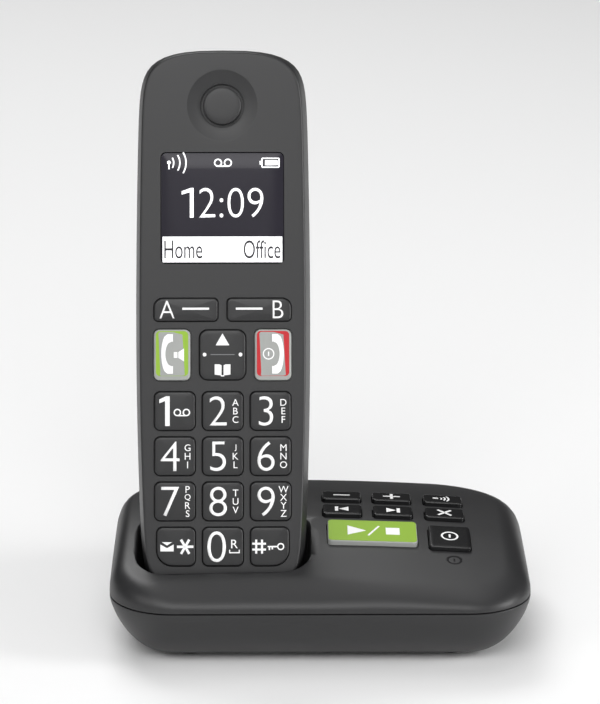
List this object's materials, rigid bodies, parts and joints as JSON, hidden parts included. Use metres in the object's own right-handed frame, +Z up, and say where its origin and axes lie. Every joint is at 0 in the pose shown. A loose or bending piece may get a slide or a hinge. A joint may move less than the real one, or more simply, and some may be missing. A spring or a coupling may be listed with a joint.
{
  "type": "cordless phone with base",
  "caption": "Cordless phone handset with large keys leaning in a desk base that has its own answering-machine keys.",
  "frame": {"origin": "middle of the footprint, on the surface that the rubber feet rest on", "axes": "+Z up, +Y towards the back of the base, +X to the right seen from the front"},
  "size_m": [0.124, 0.088, 0.1714],
  "materials": {
    "charcoal_plastic": "fine spark-textured moulded ABS",
    "key_plastic": "satin moulded plastic with printed white legends",
    "green_plastic": "satin lime-green printed key face",
    "red_plastic": "satin red printed key face",
    "window_plastic": "clear acrylic over a dark display",
    "rubber": "moulded silicone rubber",
    "circuit_board": "green solder mask",
    "plated_metal": "nickel-plated spring metal",
    "steel": "plain steel",
    "battery_sleeve": "plain shrink sleeve"
  },
  "bodies": {
    "base": {"base_top_shell": "charcoal_plastic", "base_bottom_shell": "charcoal_plastic", "line_socket": "key_plastic", "power_socket": "key_plastic", "answer_indicator": "window_plastic", "base_key_mat": "rubber", "foot_front_left": "rubber", "foot_front_right": "rubber", "foot_back_left": "rubber", "foot_back_right": "rubber", "base_circuit_board": "circuit_board", "base_speaker": "steel", "base_screw_left": "steel", "base_screw_right": "steel"},
    "handset": {"handset_front_shell": "charcoal_plastic", "handset_rear_shell": "charcoal_plastic", "display_window": "window_plastic", "display_module": "window_plastic", "earpiece_cap": "charcoal_plastic", "earpiece_receiver": "steel", "handsfree_speaker": "steel", "microphone": "steel", "handset_circuit_board": "circuit_board", "keypad_mat": "rubber", "battery_left": "battery_sleeve", "battery_right": "battery_sleeve", "battery_contact_lower": "plated_metal", "battery_contact_upper": "plated_metal", "handset_charge_contact_left": "plated_metal", "handset_charge_contact_right": "plated_metal", "handset_screw_left": "steel", "handset_screw_right": "steel"},
    "battery_cover": {"battery_cover": "charcoal_plastic"},
    "key_soft_a": {"key_soft_a": "key_plastic"},
    "key_soft_b": {"key_soft_b": "key_plastic"},
    "key_talk": {"key_talk": "green_plastic"},
    "key_nav": {"key_nav": "key_plastic"},
    "key_end": {"key_end": "red_plastic"},
    "key_1": {"key_1": "key_plastic"},
    "key_2": {"key_2": "key_plastic"},
    "key_3": {"key_3": "key_plastic"},
    "key_4": {"key_4": "key_plastic"},
    "key_5": {"key_5": "key_plastic"},
    "key_6": {"key_6": "key_plastic"},
    "key_7": {"key_7": "key_plastic"},
    "key_8": {"key_8": "key_plastic"},
    "key_9": {"key_9": "key_plastic"},
    "key_star": {"key_star": "key_plastic"},
    "key_0": {"key_0": "key_plastic"},
    "key_hash": {"key_hash": "key_plastic"},
    "base_key_minus": {"base_key_minus": "key_plastic"},
    "base_key_plus": {"base_key_plus": "key_plastic"},
    "base_key_page": {"base_key_page": "key_plastic"},
    "base_key_previous": {"base_key_previous": "key_plastic"},
    "base_key_next": {"base_key_next": "key_plastic"},
    "base_key_delete": {"base_key_delete": "key_plastic"},
    "base_key_play_stop": {"base_key_play_stop": "green_plastic"},
    "base_key_on_off": {"base_key_on_off": "key_plastic"},
    "charge_spring_left": {"charge_spring_left": "plated_metal"},
    "charge_spring_right": {"charge_spring_right": "plated_metal"}
  },
  "joints": [
    {"name": "handset_lift", "type": "slide", "parent": "base", "child": "handset", "axis": [0, 0.3007, 0.9537], "range_m": [0, 0.06]},
    {"name": "battery_cover_hinge", "type": "hinge", "parent": "handset", "child": "battery_cover", "pos_m": [-0.0285, 0.02073, 0.10506], "axis": [1, 0, 0], "range_deg": [0, 35]},
    {"name": "key_soft_a_press", "type": "slide", "parent": "handset", "child": "key_soft_a", "axis": [0, 0.9537, -0.3007], "range_m": [0, 0.0008], "stiffness_N_per_m": 1500},
    {"name": "key_soft_b_press", "type": "slide", "parent": "handset", "child": "key_soft_b", "axis": [0, 0.9537, -0.3007], "range_m": [0, 0.0008], "stiffness_N_per_m": 1500},
    {"name": "key_talk_press", "type": "slide", "parent": "handset", "child": "key_talk", "axis": [0, 0.9537, -0.3007], "range_m": [0, 0.0008], "stiffness_N_per_m": 1500},
    {"name": "key_nav_rock", "type": "hinge", "parent": "handset", "child": "key_nav", "pos_m": [-0.0285, -0.00917, 0.08623], "axis": [1, 0, 0], "range_deg": [-2.5, 2.5], "stiffness_Nm_per_rad": 0.05},
    {"name": "key_end_press", "type": "slide", "parent": "handset", "child": "key_end", "axis": [0, 0.9537, -0.3007], "range_m": [0, 0.0008], "stiffness_N_per_m": 1500},
    {"name": "key_1_press", "type": "slide", "parent": "handset", "child": "key_1", "axis": [0, 0.9537, -0.3007], "range_m": [0, 0.0008], "stiffness_N_per_m": 1500},
    {"name": "key_2_press", "type": "slide", "parent": "handset", "child": "key_2", "axis": [0, 0.9537, -0.3007], "range_m": [0, 0.0008], "stiffness_N_per_m": 1500},
    {"name": "key_3_press", "type": "slide", "parent": "handset", "child": "key_3", "axis": [0, 0.9537, -0.3007], "range_m": [0, 0.0008], "stiffness_N_per_m": 1500},
    {"name": "key_4_press", "type": "slide", "parent": "handset", "child": "key_4", "axis": [0, 0.9537, -0.3007], "range_m": [0, 0.0008], "stiffness_N_per_m": 1500},
    {"name": "key_5_press", "type": "slide", "parent": "handset", "child": "key_5", "axis": [0, 0.9537, -0.3007], "range_m": [0, 0.0008], "stiffness_N_per_m": 1500},
    {"name": "key_6_press", "type": "slide", "parent": "handset", "child": "key_6", "axis": [0, 0.9537, -0.3007], "range_m": [0, 0.0008], "stiffness_N_per_m": 1500},
    {"name": "key_7_press", "type": "slide", "parent": "handset", "child": "key_7", "axis": [0, 0.9537, -0.3007], "range_m": [0, 0.0008], "stiffness_N_per_m": 1500},
    {"name": "key_8_press", "type": "slide", "parent": "handset", "child": "key_8", "axis": [0, 0.9537, -0.3007], "range_m": [0, 0.0008], "stiffness_N_per_m": 1500},
    {"name": "key_9_press", "type": "slide", "parent": "handset", "child": "key_9", "axis": [0, 0.9537, -0.3007], "range_m": [0, 0.0008], "stiffness_N_per_m": 1500},
    {"name": "key_star_press", "type": "slide", "parent": "handset", "child": "key_star", "axis": [0, 0.9537, -0.3007], "range_m": [0, 0.0008], "stiffness_N_per_m": 1500},
    {"name": "key_0_press", "type": "slide", "parent": "handset", "child": "key_0", "axis": [0, 0.9537, -0.3007], "range_m": [0, 0.0008], "stiffness_N_per_m": 1500},
    {"name": "key_hash_press", "type": "slide", "parent": "handset", "child": "key_hash", "axis": [0, 0.9537, -0.3007], "range_m": [0, 0.0008], "stiffness_N_per_m": 1500},
    {"name": "base_key_minus_press", "type": "slide", "parent": "base", "child": "base_key_minus", "axis": [-0.0254, -0.0157, -0.9996], "range_m": [0, 0.0009], "stiffness_N_per_m": 1500},
    {"name": "base_key_plus_press", "type": "slide", "parent": "base", "child": "base_key_plus", "axis": [-0.043, -0.0157, -0.999], "range_m": [0, 0.0009], "stiffness_N_per_m": 1500},
    {"name": "base_key_page_press", "type": "slide", "parent": "base", "child": "base_key_page", "axis": [-0.061, -0.0157, -0.998], "range_m": [0, 0.0009], "stiffness_N_per_m": 1500},
    {"name": "base_key_previous_press", "type": "slide", "parent": "base", "child": "base_key_previous", "axis": [-0.0254, 0.0521, -0.9983], "range_m": [0, 0.0009], "stiffness_N_per_m": 1500},
    {"name": "base_key_next_press", "type": "slide", "parent": "base", "child": "base_key_next", "axis": [-0.0429, 0.0521, -0.9977], "range_m": [0, 0.0009], "stiffness_N_per_m": 1500},
    {"name": "base_key_delete_press", "type": "slide", "parent": "base", "child": "base_key_delete", "axis": [-0.0609, 0.0521, -0.9968], "range_m": [0, 0.0009], "stiffness_N_per_m": 1500},
    {"name": "base_key_play_stop_press", "type": "slide", "parent": "base", "child": "base_key_play_stop", "axis": [-0.0351, 0.1362, -0.9901], "range_m": [0, 0.0009], "stiffness_N_per_m": 1500},
    {"name": "base_key_on_off_press", "type": "slide", "parent": "base", "child": "base_key_on_off", "axis": [-0.0613, 0.1435, -0.9878], "range_m": [0, 0.0009], "stiffness_N_per_m": 1500},
    {"name": "charge_spring_left_press", "type": "slide", "parent": "base", "child": "charge_spring_left", "axis": [0, -0.3007, -0.9537], "range_m": [0, 0.0007], "stiffness_N_per_m": 1000},
    {"name": "charge_spring_right_press", "type": "slide", "parent": "base", "child": "charge_spring_right", "axis": [0, -0.3007, -0.9537], "range_m": [0, 0.0007], "stiffness_N_per_m": 1000}
  ]
}
